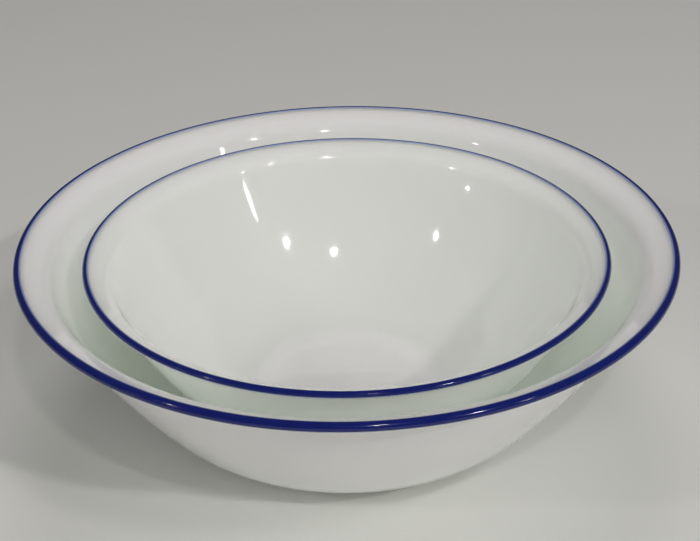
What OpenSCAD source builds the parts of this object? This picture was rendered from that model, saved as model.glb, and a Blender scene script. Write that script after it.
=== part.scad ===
// A nested pair of white glass serving bowls, each with a blue band fired onto its rim.
// Millimetres, +Z up. The origin is on the table, at the centre of the large bowl's foot ring.

/* [Large bowl] */
// Diameter over the rim
large_rim_d = 260; // [245:1:300]
// Height from the table to the top of the rim
large_height = 82; // [72:1:96]
// Thickness of the glass, and of the rounded rim
large_glass_t = 3.5; // [2.5:0.1:4.5]
// Width of the flared rim, from the bend at the top of the wall to the rim's outside
large_flare_w = 12; // [8:0.5:20]
// Radius of that bend, on the inside of the bowl
large_bend_r = 12; // [6:0.5:16]
// Slope of the wall just under the bend, in degrees from level
large_top_angle = 63.5; // [58:0.5:72]
// Slope at which the wall runs into the rounded bottom corner
large_low_angle = 53; // [40:0.5:56]
// Outside diameter of the foot ring
large_foot_d = 90; // [80:1:110]

/* [Small bowl] */
// Diameter over the rim
small_rim_d = 209.5; // [198:0.5:225]
// Height from its foot ring to the top of the rim
small_height = 71; // [60:1:84]
// Thickness of the glass, and of the rounded rim
small_glass_t = 2.8; // [2.2:0.1:4]
// Width of the flared rim, from the bend at the top of the wall to the rim's outside
small_flare_w = 9.25; // [6.5:0.25:16]
// Radius of that bend, on the inside of the bowl
small_bend_r = 9.5; // [5:0.5:14]
// Slope of the wall just under the bend, in degrees from level
small_top_angle = 67; // [60:0.5:74]
// Slope at which the wall runs into the rounded bottom corner
small_low_angle = 50; // [40:0.5:56]
// Outside diameter of the foot ring
small_foot_d = 68; // [56:1:84]

/* [Flared rims] */
// Slope of both flared rims, in degrees from level
flare_angle = 30; // [20:1:40]

/* [Foot rings] */
// Height of a foot ring under the flat of the bowl
foot_h = 1.2; // [0.8:0.1:3]
// Width of a foot ring
foot_w = 3; // [2:0.1:6]
// Rounding of a foot ring's edges
foot_edge_r = 0.6; // [0.2:0.1:0.7]
// Flat left outside a foot ring, before the bottom corner starts to rise
foot_step = 1; // [0.5:0.5:6]

/* [Rim bands] */
// Thickness of the fired-on enamel
enamel_t = 0.25; // [0.15:0.05:0.5]
// How far a band reaches in from the rounded rim, along the flare
band_in_w = 0.3; // [0.1:0.1:3]
// Angle around the rounded rim, below its widest point, at which the large bowl's band ends
large_band_angle = 30; // [0:1:50]
// The same angle on the small bowl
small_band_angle = 12; // [0:1:50]

/* [Nesting] */
// Air left where the small bowl seats in the large one
nest_gap = 0.1; // [0.05:0.05:1]

/* [Hidden] */

GLASS_WHITE = [0.84, 0.86, 0.83];
COBALT_BLUE = [0.03, 0.06, 0.30];

// Greatest distance between a curve and the chords that stand for it
chord_off = 0.01;
// Facets around a turned piece
turn_fn = 240;

// Unit vector at an angle from the radial direction, in a bowl's section
function direction(angle) = [cos(angle), sin(angle)];

// Points of the arc around a centre from one angle to another, both ends included
function arc(centre, r, from, to) =
    let (
        step = 2 * acos(1 - chord_off / r),
        n = max(1, ceil(abs(to - from) / step))
    )
    [for (i = [0 : n]) centre + r * direction(from + (to - from) * i / n)];

// A list without its first point, for an arc that goes on from the last one
function tail(points) = [for (i = [1 : len(points) - 1]) points[i]];

function reversed(points) = [for (i = [len(points) - 1 : -1 : 0]) points[i]];

// Underside of a bowl, from the outside of its foot ring to the axis
function foot_points(foot_r) =
    let (foot_in_r = foot_r - foot_w)
    concat(
        [[foot_r, foot_h]],
        arc([foot_r - foot_edge_r, foot_edge_r], foot_edge_r, 0, -90),
        arc([foot_in_r + foot_edge_r, foot_edge_r], foot_edge_r, -90, -180),
        [[foot_in_r, foot_h], [0, foot_h]]
    );

// Half section of a bowl that stands on z = 0, as four runs of points:
// inside: the axis, the floor, the corner, the wall, the bend and the flare, up to the band
// under_band: the glass under the band
// over_band: the face of the band
// outside: the rim below the band, the flare, the bend, the wall, the corner and the foot ring
// The wall and the corner are two arcs that meet at low_angle. Their radii follow from the
// place of the wall's top and of the floor's edge.
function bowl_section(rim_d, height, glass_t, flare_w, bend_r, top_angle, low_angle, foot_d, band_angle) =
    let (
        lip_r = glass_t / 2,
        lip_c = [rim_d / 2 - lip_r, height - lip_r],
        along_flare = direction(flare_angle),
        into_flare = direction(flare_angle - 90),
        flare_end = lip_c - lip_r * into_flare,
        mouth_r = rim_d / 2 - flare_w,
        mouth = flare_end - along_flare * (flare_end.x - mouth_r) / along_flare.x,

        bend_run = bend_r * tan((top_angle - flare_angle) / 2),
        bend_c = mouth + bend_run * along_flare + bend_r * into_flare,
        wall_top = mouth - bend_run * direction(top_angle),

        floor_r = foot_d / 2 + foot_step,
        floor_z = foot_h + glass_t,
        rise = wall_top - [floor_r, floor_z],
        wall_run = [sin(top_angle) - sin(low_angle), cos(low_angle) - cos(top_angle)],
        corner_run = [sin(low_angle), 1 - cos(low_angle)],
        share = cross(wall_run, corner_run),
        wall_r = cross(rise, corner_run) / share,
        corner_r = cross(wall_run, rise) / share,
        wall_c = wall_top + wall_r * direction(top_angle + 90),
        corner_c = [floor_r, floor_z + corner_r],

        band_in = flare_end - band_in_w * along_flare,
        inside = concat(
            [[0, floor_z]],
            arc(corner_c, corner_r, -90, low_angle - 90),
            tail(arc(wall_c, wall_r, low_angle - 90, top_angle - 90)),
            tail(arc(bend_c, bend_r, top_angle + 90, flare_angle + 90)),
            [band_in]
        ),
        under_band = concat(
            [band_in + enamel_t * into_flare],
            arc(lip_c, lip_r - enamel_t, flare_angle + 90, -band_angle)
        ),
        over_band = concat([band_in], arc(lip_c, lip_r, flare_angle + 90, -band_angle)),
        outside = concat(
            arc(lip_c, lip_r, -band_angle, flare_angle - 90),
            arc(bend_c, bend_r - glass_t, flare_angle + 90, top_angle + 90),
            tail(arc(wall_c, wall_r + glass_t, top_angle - 90, low_angle - 90)),
            tail(arc(corner_c, corner_r + glass_t, low_angle - 90, -90)),
            foot_points(foot_d / 2)
        )
    )
    [inside, under_band, over_band, outside];

// Places of the four runs in a section
INSIDE = 0;
UNDER_BAND = 1;
OVER_BAND = 2;
OUTSIDE = 3;

large_section = bowl_section(
    large_rim_d, large_height, large_glass_t, large_flare_w, large_bend_r,
    large_top_angle, large_low_angle, large_foot_d, large_band_angle
);
small_section = bowl_section(
    small_rim_d, small_height, small_glass_t, small_flare_w, small_bend_r,
    small_top_angle, small_low_angle, small_foot_d, small_band_angle
);

// Height at which the small bowl, let down on the axis, first meets the inside of the large one
seat_z = nest_gap + max([
    for (p = small_section[OUTSIDE]) lookup(p.x, large_section[INSIDE]) - p.y
]);

// Solid turned around the axis from a half section
module turned(outline) {
    rotate_extrude($fn = turn_fn)
        polygon(outline);
}

module bowl_glass(section) {
    color(GLASS_WHITE)
        turned(concat(section[INSIDE], section[UNDER_BAND], section[OUTSIDE]));
}

module rim_band(section) {
    color(COBALT_BLUE)
        turned(concat(section[OVER_BAND], reversed(section[UNDER_BAND])));
}

module large_bowl() {
    bowl_glass(large_section);
}

module large_rim_band() {
    rim_band(large_section);
}

module small_bowl() {
    translate([0, 0, seat_z])
        bowl_glass(small_section);
}

module small_rim_band() {
    translate([0, 0, seat_z])
        rim_band(small_section);
}

large_bowl();
large_rim_band();
small_bowl();
small_rim_band();
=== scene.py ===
"""A nested pair of white glass serving bowls, each with a blue enamel band fired onto its rim.

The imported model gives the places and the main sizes. Each bowl and each band is turned again here as a
finer mesh, with the slight unevenness of pressed glass and of fired enamel, and dressed with its finish.
Lengths are in metres and angles in degrees, unless a name says otherwise.
"""
import logging
import math
from collections.abc import Iterable
from dataclasses import dataclass, field
from enum import Enum

import bpy
from mathutils import Matrix, Vector


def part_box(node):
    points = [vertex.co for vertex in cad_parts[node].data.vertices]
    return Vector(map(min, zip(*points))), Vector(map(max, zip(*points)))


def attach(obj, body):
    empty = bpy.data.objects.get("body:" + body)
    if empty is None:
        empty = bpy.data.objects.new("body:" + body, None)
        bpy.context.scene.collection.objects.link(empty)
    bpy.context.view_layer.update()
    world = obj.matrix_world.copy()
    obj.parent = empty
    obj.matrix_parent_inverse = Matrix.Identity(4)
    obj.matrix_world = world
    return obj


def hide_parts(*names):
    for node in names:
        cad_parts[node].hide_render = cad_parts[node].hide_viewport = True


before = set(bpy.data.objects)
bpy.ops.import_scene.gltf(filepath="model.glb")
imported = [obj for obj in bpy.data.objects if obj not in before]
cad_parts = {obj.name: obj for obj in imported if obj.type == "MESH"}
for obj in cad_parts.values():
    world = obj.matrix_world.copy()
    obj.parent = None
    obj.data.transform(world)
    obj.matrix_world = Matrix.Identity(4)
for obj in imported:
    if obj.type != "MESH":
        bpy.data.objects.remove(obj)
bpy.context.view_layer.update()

LOG = logging.getLogger("bowls")

MM = 0.001
# Greatest distance between a curve of a section and the chords that stand for it
CHORD_OFF = 0.003 * MM
# Rings of points across the flat floor of a bowl, and across its flat underside
FLAT_RINGS = 12
# Points that are closer than this are one point
MERGE_GAP = 0.0005 * MM
# Faces that meet at a greater angle than this meet at a sharp edge
CORNER_ANGLE = 35.0

# Warm white of the room and its lamps
LAMP_COLOUR = (1.03, 1.0, 0.975)

Colour = tuple[float, float, float, float]


class Slot(Enum):
    """Material slots of the record."""

    GLASS = "opal_glass"
    ENAMEL = "cobalt_enamel"


class BowlName(Enum):
    """The two bowls. Each name is also that of the body that moves with the bowl."""

    LARGE = "large_bowl"
    SMALL = "small_bowl"


class Mark(Enum):
    """Names of the values that a section carries onto its turned mesh."""

    CREEP = "creep"
    INSIDE = "inside"
    DEPTH = "depth"
    CLARITY = "clarity"


@dataclass(frozen=True)
class SectionPoint:
    """A point of a half section, with what the turning and the finish need to know there."""

    place: Vector
    creep: Vector = Vector((0.0, 0.0))
    inside: float = 0.0
    depth: float = 1.0
    clarity: float = 1.0


def direction(angle: float) -> Vector:
    """Unit vector at an angle from the radial direction, in a half section.

    Args:
        angle: angle in degrees, positive upwards.

    Returns:
        The radial and the upright part of the vector.
    """
    return Vector((math.cos(math.radians(angle)), math.sin(math.radians(angle))))


def arc(centre: Vector, radius: float, start: float, end: float) -> list[Vector]:
    """Points along an arc of a half section, both ends included.

    Args:
        centre: centre of the arc.
        radius: its radius.
        start: angle of its first point.
        end: angle of its last point.

    Returns:
        The points, in order.
    """
    step = math.degrees(2 * math.acos(1 - CHORD_OFF / radius))
    count = max(1, math.ceil(abs(end - start) / step))
    return [centre + radius * direction(start + (end - start) * i / count) for i in range(count + 1)]


def straight(start: Vector, end: Vector, count: int) -> list[Vector]:
    """Points along a straight line, without its last point.

    Args:
        start: first end of the line.
        end: other end of the line.
        count: number of points.

    Returns:
        The points, in order.
    """
    return [start.lerp(end, i / count) for i in range(count)]


@dataclass
class BowlSection:
    """Half section of a bowl that stands on its foot ring at height 0, worked out from its sizes.

    The wall and the bottom corner are two arcs that meet at low_angle. Their radii follow from the place
    of the wall's top and of the floor's edge. outer_clarity is how deep light goes into the outside, as a
    share of how deep it goes into the inside.
    """

    rim_d: float
    height: float
    glass_t: float
    flare_w: float
    bend_r: float
    top_angle: float
    low_angle: float
    foot_d: float
    band_angle: float
    outer_clarity: float = 1.0
    flare_angle: float = 30.0
    foot_h: float = 1.2 * MM
    foot_w: float = 3 * MM
    foot_edge_r: float = 0.6 * MM
    foot_root_r: float = 0.4 * MM
    foot_step: float = 1 * MM
    enamel_t: float = 0.25 * MM
    enamel_proud: float = 0.04 * MM
    enamel_inner_fade: float = 0.95 * MM
    enamel_outer_fade: float = 0.3 * MM
    enamel_steps: int = 40
    enamel_lap: float = 0.05 * MM
    band_in_w: float = 0.3 * MM

    def __post_init__(self) -> None:
        """Work out the centres and the radii of the section's arcs."""
        self.along_flare = direction(self.flare_angle)
        self.into_flare = direction(self.flare_angle - 90)
        self.lip_r = self.glass_t / 2
        self.lip_c = Vector((self.rim_d / 2 - self.lip_r, self.height - self.lip_r))
        self.flare_end = self.lip_c - self.lip_r * self.into_flare
        self.band_in = self.flare_end - self.band_in_w * self.along_flare

        mouth_r = self.rim_d / 2 - self.flare_w
        mouth = self.flare_end - self.along_flare * ((self.flare_end.x - mouth_r) / self.along_flare.x)
        bend_run = self.bend_r * math.tan(math.radians(self.top_angle - self.flare_angle) / 2)
        self.bend_c = mouth + bend_run * self.along_flare + self.bend_r * self.into_flare
        wall_top = mouth - bend_run * direction(self.top_angle)

        self.floor_z = self.foot_h + self.glass_t
        floor_edge = Vector((self.foot_d / 2 + self.foot_step, self.floor_z))
        low, top = direction(self.low_angle), direction(self.top_angle)
        wall_run = Vector((top.y - low.y, low.x - top.x))
        corner_run = Vector((low.y, 1 - low.x))
        rise = wall_top - floor_edge
        share = wall_run.cross(corner_run)
        self.wall_r = rise.cross(corner_run) / share
        self.corner_r = wall_run.cross(rise) / share
        self.wall_c = wall_top + self.wall_r * direction(self.top_angle + 90)
        self.corner_c = floor_edge + Vector((0.0, self.corner_r))

    def inside(self) -> list[Vector]:
        """Points from the axis over the floor, up the wall and out to the band."""
        corner = arc(self.corner_c, self.corner_r, -90, self.low_angle - 90)
        wall = arc(self.wall_c, self.wall_r, self.low_angle - 90, self.top_angle - 90)
        bend = arc(self.bend_c, self.bend_r, self.top_angle + 90, self.flare_angle + 90)
        floor = straight(Vector((0.0, self.floor_z)), corner[0], FLAT_RINGS)
        return floor + corner + wall[1:] + bend[1:] + [self.band_in]

    def under_band(self) -> list[Vector]:
        """Points of the glass under the band, from the inside of the rim to the outside."""
        start = self.band_in + self.enamel_t * self.into_flare
        under_r = self.lip_r - self.enamel_t
        return [start] + arc(self.lip_c, under_r, self.flare_angle + 90, -self.band_angle)

    def outside(self) -> list[Vector]:
        """Points from the rim below the band, down the outside and in to the axis."""
        lip = arc(self.lip_c, self.lip_r, -self.band_angle, self.flare_angle - 90)
        bend = arc(self.bend_c, self.bend_r - self.glass_t, self.flare_angle + 90, self.top_angle + 90)
        wall = arc(self.wall_c, self.wall_r + self.glass_t, self.top_angle - 90, self.low_angle - 90)
        corner = arc(self.corner_c, self.corner_r + self.glass_t, self.low_angle - 90, -90)
        return lip + bend + wall[1:] + corner[1:] + self.foot()

    def foot(self) -> list[Vector]:
        """Points of the foot ring, from its outside to the axis, with rounded edges and roots."""
        edge, root = self.foot_edge_r, self.foot_root_r
        out_r = self.foot_d / 2
        in_r = out_r - self.foot_w
        root_z = self.foot_h - root
        ring = arc(Vector((out_r + root, root_z)), root, 90, 180)
        ring += arc(Vector((out_r - edge, edge)), edge, 0, -90)
        ring += arc(Vector((in_r + edge, edge)), edge, -90, -180)
        ring += arc(Vector((in_r - root, root_z)), root, 0, 90)
        axis = Vector((0.0, self.foot_h))
        return ring + straight(ring[-1], axis, FLAT_RINGS)[1:] + [axis]

    def glass_outline(self) -> list[SectionPoint]:
        """Outline of the glass, from the axis over the rim and back to the axis."""
        inside = [SectionPoint(p, inside=1.0) for p in self.inside()]
        outside = self.under_band() + self.outside()
        return inside + [SectionPoint(p, clarity=self.outer_clarity) for p in outside]

    def enamel_depth(self, angle: float) -> float:
        """Share of the enamel's full thickness at an angle around the rounded rim.

        Args:
            angle: the angle.

        Returns:
            The share, which falls to 0 towards both edges of the band.
        """
        from_inner = self.band_in_w + self.lip_r * math.radians(self.flare_angle + 90 - angle)
        from_outer = self.lip_r * math.radians(self.band_angle + angle)
        return min(1.0, from_inner / self.enamel_inner_fade, from_outer / self.enamel_outer_fade)

    def band_outline(self) -> list[SectionPoint]:
        """Closed outline of the enamel band.

        The enamel thins out towards its two edges, which lap over the glass. They carry the direction in
        which the enamel crept when it was fired.

        Returns:
            The points, where the last one is again the first.
        """
        creep_in = -self.along_flare
        creep_out = direction(-self.band_angle - 90)
        out_end = self.lip_c + self.lip_r * direction(-self.band_angle)
        in_edge = SectionPoint(self.band_in + self.enamel_lap * creep_in, creep_in, depth=0.0)
        face = []
        turn = self.flare_angle + 90 + self.band_angle
        for step in range(self.enamel_steps):
            angle = self.flare_angle + 90 - turn * step / self.enamel_steps
            depth = self.enamel_depth(angle)
            place = self.lip_c + (self.lip_r + depth * self.enamel_proud) * direction(angle)
            face.append(SectionPoint(place, depth=depth))
        out_edge = SectionPoint(out_end + self.enamel_lap * creep_out, creep_out, depth=0.0)
        under = [SectionPoint(p) for p in reversed(self.under_band())]
        root_in = SectionPoint(self.band_in, depth=0.0)
        root_out = SectionPoint(out_end, depth=0.0)
        return [in_edge] + face + [out_edge, root_out] + under + [root_in, in_edge]


class NodeBoard:
    """A node tree with short calls to add nodes and links."""

    def __init__(self, tree: bpy.types.NodeTree) -> None:
        """Keep the tree that the nodes go into."""
        self.tree = tree

    def add(
        self, kind: str, inputs: dict[str | int, object] | None = None, **settings: object
    ) -> bpy.types.Node:
        """Add a node.

        Args:
            kind: identifier of the node's type.
            inputs: for an input's name or place, the socket that feeds it or its fixed value.
            settings: properties of the node.

        Returns:
            The node.
        """
        node = self.tree.nodes.new(kind)
        for name, value in settings.items():
            setattr(node, name, value)
        for key, value in (inputs or {}).items():
            if isinstance(value, bpy.types.NodeSocket):
                self.tree.links.new(value, node.inputs[key])
            else:
                node.inputs[key].default_value = value
        return node

    def math(self, operation: str, a: object, b: object = 0.0) -> bpy.types.NodeSocket:
        """Add a sum of two numbers.

        Args:
            operation: name of the operation.
            a: first number, or the socket that gives it.
            b: second number, or the socket that gives it.

        Returns:
            The socket of the result.
        """
        return self.add("ShaderNodeMath", {0: a, 1: b}, operation=operation).outputs[0]

    def vector(self, operation: str, a: object, b: object = (0.0, 0.0, 0.0)) -> bpy.types.NodeSocket:
        """Add a sum of two vectors.

        Args:
            operation: name of the operation.
            a: first vector, or the socket that gives it.
            b: second vector, or the socket that gives it.

        Returns:
            The socket of the result.
        """
        return self.add("ShaderNodeVectorMath", {0: a, 1: b}, operation=operation).outputs[0]

    def blend(self, share: bpy.types.NodeSocket, a: object, b: object) -> bpy.types.NodeSocket:
        """Add a blend of two colours.

        Args:
            share: share of the second colour, from 0 to 1.
            a: first colour, or the socket that gives it.
            b: second colour, or the socket that gives it.

        Returns:
            The socket of the blend.
        """
        # The node holds numbers and vectors as well, so its colours go by their place
        inputs = {"Factor": share, 6: a, 7: b}
        return self.add("ShaderNodeMix", inputs, data_type="RGBA").outputs[2]

    def span(
        self, value: bpy.types.NodeSocket, low: float, high: float, to_low: float, to_high: float
    ) -> bpy.types.NodeSocket:
        """Carry a span of numbers over to another one.

        Args:
            value: the number.
            low: start of its span.
            high: end of its span.
            to_low: what the start becomes.
            to_high: what the end becomes.

        Returns:
            The socket of the result, which stays within the new span.
        """
        inputs = {"Value": value, "From Min": low, "From Max": high, "To Min": to_low, "To Max": to_high}
        return self.add("ShaderNodeMapRange", inputs).outputs[0]

    def noise(self, place: bpy.types.NodeSocket, size: float, layers: float) -> bpy.types.NodeSocket:
        """Add a noise of a given size.

        Args:
            place: where the noise is read.
            size: size of its blots.
            layers: how many finer layers it has.

        Returns:
            The socket of the noise, from 0 to 1.
        """
        inputs = {"Vector": place, "Scale": 1 / size, "Detail": layers}
        return self.add("ShaderNodeTexNoise", inputs).outputs["Fac"]

    def bump(self, height: bpy.types.NodeSocket, distance: float) -> bpy.types.NodeSocket:
        """Add a slight unevenness to the shading.

        Args:
            height: height of the surface, from 0 to 1.
            distance: the real height that 1 stands for.

        Returns:
            The socket of the direction that the surface faces.
        """
        inputs = {"Height": height, "Strength": 1.0, "Distance": distance}
        return self.add("ShaderNodeBump", inputs).outputs[0]

    def mark(self, mark: Mark) -> bpy.types.NodeSocket:
        """Read a mark of a turned mesh, in a material."""
        return self.add("ShaderNodeAttribute", attribute_name=mark.value).outputs["Fac"]


@dataclass(frozen=True)
class Turning:
    """How a piece is turned: how finely, and how far it is from true."""

    facets: int = 288
    unevenness: float = 0.05 * MM
    unevenness_size: float = 38 * MM
    edge_creep: float = 0.14 * MM
    creep_waves: float = 9.0
    seed: int = 7


class Lathe:
    """Turns half sections around the upright axis with one Geometry Nodes tree."""

    SECTION = "Section"
    POINTS = "Section Points"
    FACETS = "Facets"
    UNEVENNESS = "Unevenness"
    UNEVENNESS_SCALE = "Unevenness Scale"
    CREEP = "Edge Creep"
    CREEP_WAVES = "Creep Waves"
    SEED = "Seed"
    FINISH = "Finish"

    # Finer layers of the two noises
    CREEP_LAYERS = 1.0
    UNEVENNESS_LAYERS = 0.0

    INPUTS = {
        SECTION: "NodeSocketGeometry",
        POINTS: "NodeSocketInt",
        FACETS: "NodeSocketInt",
        UNEVENNESS: "NodeSocketFloat",
        UNEVENNESS_SCALE: "NodeSocketFloat",
        CREEP: "NodeSocketFloat",
        CREEP_WAVES: "NodeSocketFloat",
        SEED: "NodeSocketInt",
        FINISH: "NodeSocketMaterial",
    }

    def __init__(self, turning: Turning) -> None:
        """Build the tree for one way of turning."""
        self.turning = turning
        self.tree = bpy.data.node_groups.new("Turned piece", "GeometryNodeTree")
        interface = self.tree.interface
        self.sockets = {
            name: interface.new_socket(name, in_out="INPUT", socket_type=kind).identifier
            for name, kind in self.INPUTS.items()
        }
        interface.new_socket("Piece", in_out="OUTPUT", socket_type="NodeSocketGeometry")
        self.build_tree()

    def build_tree(self) -> None:
        """Lay out the nodes: a grid takes its rows from the section and its columns from the turn."""
        board = NodeBoard(self.tree)
        given = board.add("NodeGroupInput").outputs
        columns = board.add("FunctionNodeIntegerMath", {0: given[self.FACETS], 1: 1}, operation="ADD")
        grid = board.add(
            "GeometryNodeMeshGrid",
            {"Vertices X": columns.outputs[0], "Vertices Y": given[self.POINTS]},
        )
        index = board.add("GeometryNodeInputIndex").outputs[0]
        counted = {0: index, 1: given[self.POINTS]}
        column = board.add("FunctionNodeIntegerMath", counted, operation="DIVIDE_FLOOR").outputs[0]
        row = board.add("FunctionNodeIntegerMath", counted, operation="MODULO").outputs[0]
        # The section is turned clockwise, because the faces then point outwards
        turn = board.math("MULTIPLY", board.math("DIVIDE", column, given[self.FACETS]), -math.tau)

        place = board.add("GeometryNodeInputPosition").outputs[0]
        creep = self.marked(board, Mark.CREEP, "FLOAT_VECTOR")
        spoke = self.turned(board, (1.0, 0.0, 0.0), turn)
        crept = self.crept(board, given, self.sampled(board, given, creep, row), spoke)
        in_section = board.vector("ADD", self.sampled(board, given, place, row), crept)
        turned = self.turned(board, in_section, turn)
        placed = board.vector("ADD", turned, self.uneven(board, given, turned))

        mesh = grid.outputs["Mesh"]
        mesh = board.add("GeometryNodeSetPosition", {"Geometry": mesh, "Position": placed}).outputs[0]
        for mark in (Mark.INSIDE, Mark.DEPTH, Mark.CLARITY):
            sample = self.sampled(board, given, self.marked(board, mark, "FLOAT"), row, "FLOAT")
            stored = {"Geometry": mesh, "Name": mark.value, "Value": sample}
            mesh = board.add("GeometryNodeStoreNamedAttribute", stored).outputs[0]
        unwrap = {"Geometry": mesh, "Name": "UVMap", "Value": grid.outputs["UV Map"]}
        unwrapped = board.add(
            "GeometryNodeStoreNamedAttribute", unwrap, data_type="FLOAT2", domain="CORNER"
        ).outputs[0]

        merge = {"Geometry": unwrapped, "Distance": MERGE_GAP}
        mesh = board.add("GeometryNodeMergeByDistance", merge).outputs[0]
        smooth = {"Geometry": mesh, "Shade Smooth": True}
        mesh = board.add("GeometryNodeSetShadeSmooth", smooth).outputs[0]
        angle = board.add("GeometryNodeInputMeshEdgeAngle").outputs["Unsigned Angle"]
        corner = board.math("GREATER_THAN", angle, math.radians(CORNER_ANGLE))
        sharpen = {"Geometry": mesh, "Selection": corner, "Shade Smooth": False}
        mesh = board.add("GeometryNodeSetShadeSmooth", sharpen, domain="EDGE").outputs[0]
        mesh = board.add("GeometryNodeRealizeInstances", {"Geometry": mesh}).outputs[0]
        finish = {"Geometry": mesh, "Material": given[self.FINISH]}
        board.add("NodeGroupOutput", {0: board.add("GeometryNodeSetMaterial", finish).outputs[0]})

    def marked(self, board: NodeBoard, mark: Mark, kind: str) -> bpy.types.NodeSocket:
        """Read a mark of the section.

        Args:
            board: the tree.
            mark: the mark.
            kind: type of its value.

        Returns:
            The socket of the value.
        """
        inputs = {"Name": mark.value}
        return board.add("GeometryNodeInputNamedAttribute", inputs, data_type=kind).outputs[0]

    def sampled(
        self,
        board: NodeBoard,
        given: bpy.types.NodeOutputs,
        value: bpy.types.NodeSocket,
        row: bpy.types.NodeSocket,
        kind: str = "FLOAT_VECTOR",
    ) -> bpy.types.NodeSocket:
        """Read a value of the section at a row of the grid.

        Args:
            board: the tree.
            given: the tree's inputs.
            value: the value on the section.
            row: place of the point in the section.
            kind: type of the value.

        Returns:
            The socket of the value at that row.
        """
        inputs = {"Geometry": given[self.SECTION], "Value": value, "Index": row}
        return board.add("GeometryNodeSampleIndex", inputs, data_type=kind).outputs[0]

    def turned(
        self, board: NodeBoard, vector: object, turn: bpy.types.NodeSocket
    ) -> bpy.types.NodeSocket:
        """Turn a vector around the upright axis.

        Args:
            board: the tree.
            vector: the vector, or the socket that gives it.
            turn: the angle, in radians.

        Returns:
            The socket of the turned vector.
        """
        inputs = {"Vector": vector, "Angle": turn}
        return board.add("ShaderNodeVectorRotate", inputs, rotation_type="Z_AXIS").outputs[0]

    def crept(
        self,
        board: NodeBoard,
        given: bpy.types.NodeOutputs,
        creep: bpy.types.NodeSocket,
        spoke: bpy.types.NodeSocket,
    ) -> bpy.types.NodeSocket:
        """How far an edge of the enamel has crept, which varies around the rim.

        Args:
            board: the tree.
            given: the tree's inputs.
            creep: direction of the creep in the section.
            spoke: unit vector from the axis.

        Returns:
            The socket of the shift in the section.
        """
        # The two edges creep in opposite directions, which sets them apart in the noise too
        where = board.vector("ADD", spoke, creep)
        inputs = {
            "Vector": where,
            "W": given[self.SEED],
            "Scale": given[self.CREEP_WAVES],
            "Detail": self.CREEP_LAYERS,
        }
        noise = board.add("ShaderNodeTexNoise", inputs, noise_dimensions="4D").outputs["Fac"]
        amount = board.math("MULTIPLY", noise, given[self.CREEP])
        scaled = {0: creep, "Scale": amount}
        return board.add("ShaderNodeVectorMath", scaled, operation="SCALE").outputs[0]

    def uneven(
        self, board: NodeBoard, given: bpy.types.NodeOutputs, place: bpy.types.NodeSocket
    ) -> bpy.types.NodeSocket:
        """How far a place is from true. Pieces that touch there are off by the same amount.

        Args:
            board: the tree.
            given: the tree's inputs.
            place: the true place.

        Returns:
            The socket of the shift.
        """
        inputs = {
            "Vector": place,
            "W": given[self.SEED],
            "Scale": given[self.UNEVENNESS_SCALE],
            "Detail": self.UNEVENNESS_LAYERS,
        }
        noise = board.add("ShaderNodeTexNoise", inputs, noise_dimensions="4D").outputs["Color"]
        # The noise runs from 0 to 1, and the shift goes both ways
        middle = board.vector("SUBTRACT", noise, (0.5, 0.5, 0.5))
        scaled = {0: middle, "Scale": board.math("MULTIPLY", given[self.UNEVENNESS], 2.0)}
        return board.add("ShaderNodeVectorMath", scaled, operation="SCALE").outputs[0]

    def turn_piece(
        self, name: str, outline: list[SectionPoint], seat_z: float, finish: bpy.types.Material
    ) -> bpy.types.Object:
        """Turn an outline into a piece with a plain mesh.

        Args:
            name: name of the piece.
            outline: points of its half section, in order.
            seat_z: height that the section stands at.
            finish: material of the piece.

        Returns:
            The piece, at the origin, with its place in its mesh.
        """
        section = self.section_mesh(name, outline, seat_z)
        piece = bpy.data.objects.new(name, section)
        bpy.context.scene.collection.objects.link(piece)
        modifier = piece.modifiers.new("Turning", "NODES")
        modifier.node_group = self.tree
        values = {
            self.POINTS: len(outline),
            self.FACETS: self.turning.facets,
            self.UNEVENNESS: self.turning.unevenness,
            self.UNEVENNESS_SCALE: 1 / self.turning.unevenness_size,
            self.CREEP: self.turning.edge_creep,
            self.CREEP_WAVES: self.turning.creep_waves,
            self.SEED: self.turning.seed,
            self.FINISH: finish,
        }
        for socket, value in values.items():
            modifier[self.sockets[socket]] = value

        graph = bpy.context.evaluated_depsgraph_get()
        mesh = bpy.data.meshes.new_from_object(
            piece.evaluated_get(graph), preserve_all_data_layers=True, depsgraph=graph
        )
        mesh.name = name
        piece.modifiers.remove(modifier)
        piece.data = mesh
        bpy.data.meshes.remove(section)
        return piece

    def section_mesh(self, name: str, outline: list[SectionPoint], seat_z: float) -> bpy.types.Mesh:
        """Put an outline into a mesh of points and edges, with its marks.

        Args:
            name: name of the piece.
            outline: points of its half section, in order.
            seat_z: height that the section stands at.

        Returns:
            The mesh, in the plane of the X and Z axes.
        """
        mesh = bpy.data.meshes.new(name + "_section")
        places = [(p.place.x, 0.0, p.place.y + seat_z) for p in outline]
        mesh.from_pydata(places, [(i, i + 1) for i in range(len(outline) - 1)], [])
        creep = mesh.attributes.new(Mark.CREEP.value, "FLOAT_VECTOR", "POINT")
        creep.data.foreach_set("vector", [n for p in outline for n in (p.creep.x, 0.0, p.creep.y)])
        values = {
            Mark.INSIDE: [p.inside for p in outline],
            Mark.DEPTH: [p.depth for p in outline],
            Mark.CLARITY: [p.clarity for p in outline],
        }
        for mark, column in values.items():
            mesh.attributes.new(mark.value, "FLOAT", "POINT").data.foreach_set("value", column)
        return mesh


def new_material(name: str) -> tuple[NodeBoard, bpy.types.Node, bpy.types.Material]:
    """Make a material with an empty Principled shader.

    Args:
        name: name of the material.

    Returns:
        Its node board, its shader and the material.
    """
    material = bpy.data.materials.new(name)
    material.use_nodes = True
    return NodeBoard(material.node_tree), material.node_tree.nodes["Principled BSDF"], material


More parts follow.
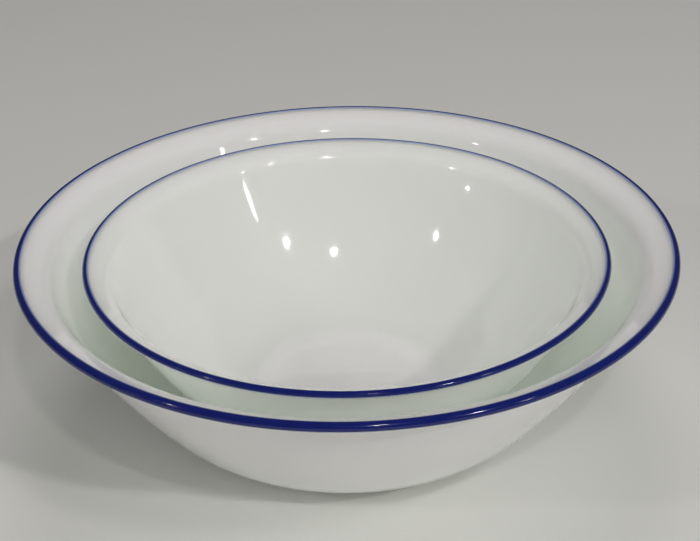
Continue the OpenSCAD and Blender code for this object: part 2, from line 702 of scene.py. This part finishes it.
@dataclass(frozen=True)
class OpalGlass:
    """White opal glass, pressed and fire polished, with faint clouds and the marks of cutlery inside.

    A part of the light goes through it. Each pass takes a little more red and blue than green, so that
    the glass looks white in the open and pale green in the narrow gap between the bowls. The mark clarity
    says to what share of scatter_depth the light goes in.
    """

    name: str = "pressed_opal_glass"
    pale: Colour = (0.961, 0.988, 0.959, 1.0)
    cloudy: Colour = (0.953, 0.981, 0.951, 1.0)
    cloud_size: float = 42 * MM
    cloud_layers: float = 2.0
    scatter_depth: float = 10 * MM
    gloss_low: float = 0.03
    gloss_high: float = 0.055
    ripple_size: float = 9 * MM
    ripple_layers: float = 1.0
    ripple_height: float = 0.006 * MM
    scratch_length: float = 34 * MM
    scratch_width: float = 0.28 * MM
    scratch_turns: tuple[float, ...] = (18.0, 71.0, 132.0)
    scratch_start: float = 0.72
    scratch_full: float = 0.80
    scratch_dulling: float = 0.08
    ior: float = 1.5

    def material(self) -> bpy.types.Material:
        """Build the material."""
        board, shader, material = new_material(self.name)
        place = board.add("ShaderNodeTexCoord").outputs["Object"]
        clouds = board.noise(place, self.cloud_size, self.cloud_layers)
        colour = board.blend(clouds, self.pale, self.cloudy)
        gloss = board.span(clouds, 0.0, 1.0, self.gloss_low, self.gloss_high)
        dulling = board.math("MULTIPLY", self.scratches(board, place), self.scratch_dulling)
        ripple = board.noise(place, self.ripple_size, self.ripple_layers)
        scatter = board.math("MULTIPLY", board.mark(Mark.CLARITY), self.scatter_depth)

        shader.inputs["IOR"].default_value = self.ior
        shader.inputs["Subsurface Weight"].default_value = 1.0
        shader.inputs["Subsurface Radius"].default_value = (1.0, 1.0, 1.0)
        links = board.tree.links
        links.new(scatter, shader.inputs["Subsurface Scale"])
        links.new(colour, shader.inputs["Base Color"])
        links.new(board.math("ADD", gloss, dulling), shader.inputs["Roughness"])
        links.new(board.bump(ripple, self.ripple_height), shader.inputs["Normal"])
        return material

    def scratches(self, board: NodeBoard, place: bpy.types.NodeSocket) -> bpy.types.NodeSocket:
        """Add fine marks in a few directions on the inside of a bowl.

        Args:
            board: the material's nodes.
            place: where the marks are read.

        Returns:
            The socket of the marks, from 0 to 1.
        """
        stretch = (1 / self.scratch_length, 1 / self.scratch_width, 1 / self.scratch_length)
        total = 0.0
        for turn in self.scratch_turns:
            mapping = {"Vector": place, "Rotation": (0.0, 0.0, math.radians(turn)), "Scale": stretch}
            lines = board.add("ShaderNodeMapping", mapping, vector_type="POINT").outputs[0]
            # The mapping has already stretched the noise, so its own size and layers stay plain
            fibre = board.noise(lines, size=1.0, layers=0.0)
            line = board.span(fibre, self.scratch_start, self.scratch_full, 0.0, 1.0)
            total = board.math("MAXIMUM", total, line)
        return board.math("MULTIPLY", total, board.mark(Mark.INSIDE))


@dataclass(frozen=True)
class CobaltEnamel:
    """Blue enamel fired onto the glass, dark where it is thick and a lighter blue at its thin edges."""

    name: str = "fired_cobalt_enamel"
    deep: Colour = (0.0035, 0.0080, 0.112, 1.0)
    mottled: Colour = (0.0060, 0.0150, 0.160, 1.0)
    thin: Colour = (0.45, 0.54, 0.80, 1.0)
    mottle_size: float = 5 * MM
    mottle_layers: float = 3.0
    gloss_low: float = 0.06
    gloss_high: float = 0.14
    ripple_size: float = 2.5 * MM
    ripple_layers: float = 1.0
    ripple_height: float = 0.008 * MM
    ior: float = 1.52

    def material(self) -> bpy.types.Material:
        """Build the material."""
        board, shader, material = new_material(self.name)
        place = board.add("ShaderNodeTexCoord").outputs["Object"]
        mottle = board.noise(place, self.mottle_size, self.mottle_layers)
        thick = board.blend(mottle, self.deep, self.mottled)
        colour = board.blend(board.mark(Mark.DEPTH), self.thin, thick)
        gloss = board.span(mottle, 0.0, 1.0, self.gloss_low, self.gloss_high)
        ripple = board.noise(place, self.ripple_size, self.ripple_layers)

        shader.inputs["IOR"].default_value = self.ior
        links = board.tree.links
        links.new(colour, shader.inputs["Base Color"])
        links.new(gloss, shader.inputs["Roughness"])
        links.new(board.bump(ripple, self.ripple_height), shader.inputs["Normal"])
        return material


@dataclass
class BandedBowl:
    """A bowl of opal glass with the enamel band on its rim. The two move as one body."""

    name: BowlName
    glass_t: float
    flare_w: float
    bend_r: float
    top_angle: float
    low_angle: float
    foot_d: float
    band_angle: float
    outer_clarity: float
    section: BowlSection = field(init=False)
    seat_z: float = field(init=False)

    def __post_init__(self) -> None:
        """Take the rim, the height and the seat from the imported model, and work out the section."""
        self.glass_node = self.name.value
        self.band_node = self.name.value.replace("bowl", "rim_band")
        self.seat_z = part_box(self.glass_node)[0].z
        rim_low, rim_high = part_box(self.band_node)
        self.section = BowlSection(
            rim_d=rim_high.x - rim_low.x,
            height=rim_high.z - self.seat_z,
            glass_t=self.glass_t,
            flare_w=self.flare_w,
            bend_r=self.bend_r,
            top_angle=self.top_angle,
            low_angle=self.low_angle,
            foot_d=self.foot_d,
            band_angle=self.band_angle,
            outer_clarity=self.outer_clarity,
        )

    def build_glass(self, lathe: Lathe, finish: bpy.types.Material) -> bpy.types.Object:
        """Turn the glass of the bowl.

        Args:
            lathe: what turns it.
            finish: the glass.

        Returns:
            The piece.
        """
        outline = self.section.glass_outline()
        piece = lathe.turn_piece(self.glass_node + "_glass", outline, self.seat_z, finish)
        return self.dress(piece, self.glass_node)

    def build_band(self, lathe: Lathe, finish: bpy.types.Material) -> bpy.types.Object:
        """Turn the enamel band of the bowl.

        Args:
            lathe: what turns it.
            finish: the enamel.

        Returns:
            The piece.
        """
        outline = self.section.band_outline()
        piece = lathe.turn_piece(self.band_node + "_enamel", outline, self.seat_z, finish)
        return self.dress(piece, self.band_node)

    def dress(self, piece: bpy.types.Object, node: str) -> bpy.types.Object:
        """Put a piece in the place of its node, on the bowl's body.

        Args:
            piece: the piece.
            node: the node that it stands for.

        Returns:
            The piece.
        """
        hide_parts(node)
        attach(piece, self.name.value)
        return piece


def towards(elevation: float, azimuth: float) -> Vector:
    """Unit vector towards a place in the room.

    Args:
        elevation: angle of the place above level.
        azimuth: its angle around the upright axis, from the X axis.

    Returns:
        The vector.
    """
    level = math.cos(math.radians(elevation))
    return Vector((
        level * math.cos(math.radians(azimuth)),
        level * math.sin(math.radians(azimuth)),
        math.sin(math.radians(elevation)),
    ))


@dataclass(frozen=True)
class Lamp:
    """A lamp that faces the bowls, placed by its direction from them.

    It is round unless it has a height. Its light is how bright a white surface gets that faces it. A lamp
    that isn't mirrored lights the pieces softly, without a highlight.
    """

    name: str
    elevation: float
    azimuth: float
    distance: float
    width: float
    light: float
    mirrored: bool = True
    height: float = 0.0
    colour: tuple[float, float, float] = LAMP_COLOUR

    def build(self, target: Vector) -> bpy.types.Object:
        """Hang the lamp.

        Args:
            target: the point that it faces.

        Returns:
            The lamp.
        """
        away = towards(self.elevation, self.azimuth)
        data = bpy.data.lights.new(self.name, "AREA")
        data.shape = "ELLIPSE"
        data.size = self.width
        data.size_y = self.height or self.width
        data.color = self.colour
        data.energy = self.light * (math.pi * self.distance) ** 2
        lamp = bpy.data.objects.new(self.name, data)
        lamp.location = target + self.distance * away
        lamp.rotation_euler = away.to_track_quat("Z", "Y").to_euler()
        lamp.visible_glossy = self.mirrored
        bpy.context.scene.collection.objects.link(lamp)
        return lamp


@dataclass(frozen=True)
class View:
    """The camera of the photograph."""

    place: Vector = Vector((1.25 * MM, -424.66 * MM, 305.74 * MM))
    pitch_down: float = 29.82
    roll: float = -0.903
    focal_px: float = 1200.0
    image_w_px: float = 700.0
    sensor_w_mm: float = 36.0
    clip_start: float = 10 * MM

    def build(self) -> bpy.types.Object:
        """Set up the camera and make it the scene's own."""
        pitch, roll = math.radians(self.pitch_down), math.radians(self.roll)
        level_right = Vector((1.0, 0.0, 0.0))
        level_up = Vector((0.0, math.sin(pitch), math.cos(pitch)))
        right = math.cos(roll) * level_right + math.sin(roll) * level_up
        up = math.cos(roll) * level_up - math.sin(roll) * level_right
        turn = Matrix((right, up, right.cross(up))).transposed()

        data = bpy.data.cameras.new("view")
        data.sensor_fit = "HORIZONTAL"
        data.sensor_width = self.sensor_w_mm
        data.lens = self.sensor_w_mm * self.focal_px / self.image_w_px
        data.clip_start = self.clip_start
        camera = bpy.data.objects.new("view", data)
        camera.matrix_world = Matrix.Translation(self.place) @ turn.to_4x4()
        bpy.context.scene.collection.objects.link(camera)
        bpy.context.scene.camera = camera
        return camera


@dataclass(frozen=True)
class Studio:
    """The plain pale floor, the soft light and the camera."""

    floor_half_w: float = 4.0
    floor_pale: Colour = (0.715, 0.725, 0.705, 1.0)
    floor_dull: Colour = (0.700, 0.710, 0.690, 1.0)
    floor_blot_size: float = 60 * MM
    floor_blot_layers: float = 2.0
    floor_roughness: float = 0.75
    # Light that goes from glass to glass in the gap between the bowls takes many turns
    bounces: int = 48
    view: View = View()
    # Name, elevation, azimuth, distance, width and light of each lamp
    lamps: tuple[Lamp, ...] = (
        Lamp("key_lamp", 45.5, -79.5, 0.98, 0.055, 0.085, height=0.016),
        Lamp("key_box", 45.5, -79.5, 0.98, 0.083, 0.015, mirrored=False),
        Lamp("right_lamp", 38.0, -47.0, 2.5, 0.110, 0.110, height=0.05),
        Lamp("right_box", 38.0, -47.0, 2.5, 0.150, 0.090, mirrored=False),
        Lamp("right_strip", 24.0, -34.0, 2.5, 0.075, 0.032, height=0.42),
        Lamp("high_right_box", 50.0, -47.0, 2.5, 0.300, 0.120, mirrored=False),
        Lamp("left_lamp", 31.8, -150.0, 2.5, 0.080, 0.050, height=0.035),
        Lamp("left_box", 31.8, -150.0, 2.5, 0.300, 0.030, mirrored=False),
        Lamp("left_low_lamp", 18.0, -158.0, 2.5, 0.060, 0.007, height=0.025),
        Lamp("front_box", 40.0, -90.0, 2.0, 1.0, 0.160, mirrored=False),
        Lamp("high_back_box", 65.0, 90.0, 2.0, 1.0, 0.195, mirrored=False),
    )
    room_light: float = 0.08

    def build(self, target: Vector) -> None:
        """Set up the studio.

        Args:
            target: the point that the lamps face.
        """
        self.build_floor()
        self.build_room()
        for lamp in self.lamps:
            lamp.build(target)
            LOG.info("lamp %s", lamp.name)
        self.view.build()
        scene = bpy.context.scene
        scene.cycles.max_bounces = self.bounces
        scene.cycles.diffuse_bounces = self.bounces
        scene.view_settings.view_transform = "Standard"

    def build_floor(self) -> bpy.types.Object:
        """Lay the floor."""
        w = self.floor_half_w
        mesh = bpy.data.meshes.new("floor")
        mesh.from_pydata([(-w, -w, 0), (w, -w, 0), (w, w, 0), (-w, w, 0)], [], [(0, 1, 2, 3)])
        board, shader, material = new_material("floor_paper")
        place = board.add("ShaderNodeTexCoord").outputs["Object"]
        blots = board.noise(place, self.floor_blot_size, self.floor_blot_layers)
        colour = board.blend(blots, self.floor_pale, self.floor_dull)
        board.tree.links.new(colour, shader.inputs["Base Color"])
        shader.inputs["Roughness"].default_value = self.floor_roughness
        mesh.materials.append(material)
        floor = bpy.data.objects.new("floor", mesh)
        bpy.context.scene.collection.objects.link(floor)
        return floor

    def build_room(self) -> None:
        """Give the room a little light from all around."""
        world = bpy.data.worlds.new("soft_room")
        world.use_nodes = True
        background = world.node_tree.nodes["Background"]
        background.inputs["Color"].default_value = (*LAMP_COLOUR, 1.0)
        background.inputs["Strength"].default_value = self.room_light
        bpy.context.scene.world = world


def main() -> None:
    """Build the bowls and their bands, then the studio."""
    logging.basicConfig(level=logging.INFO, format="%(name)s: %(message)s")
    glass = OpalGlass().material()
    enamel = CobaltEnamel().material()
    lathe = Lathe(Turning())
    large = BandedBowl(
        BowlName.LARGE,
        glass_t=3.5 * MM,
        flare_w=12 * MM,
        bend_r=12 * MM,
        top_angle=63.5,
        low_angle=53.0,
        foot_d=90 * MM,
        band_angle=30.0,
        outer_clarity=0.05,
    )
    small = BandedBowl(
        BowlName.SMALL,
        glass_t=2.8 * MM,
        flare_w=9.25 * MM,
        bend_r=9.5 * MM,
        top_angle=67.0,
        low_angle=50.0,
        foot_d=68 * MM,
        band_angle=12.0,
        outer_clarity=1.0,
    )
    for bowl in (large, small):
        for piece in (bowl.build_glass(lathe, glass), bowl.build_band(lathe, enamel)):
            LOG.info("piece %s, %d faces", piece.name, len(piece.data.polygons))
    Studio().build(Vector((0.0, 0.0, large.section.height)))


if __name__ == "__main__":
    main()
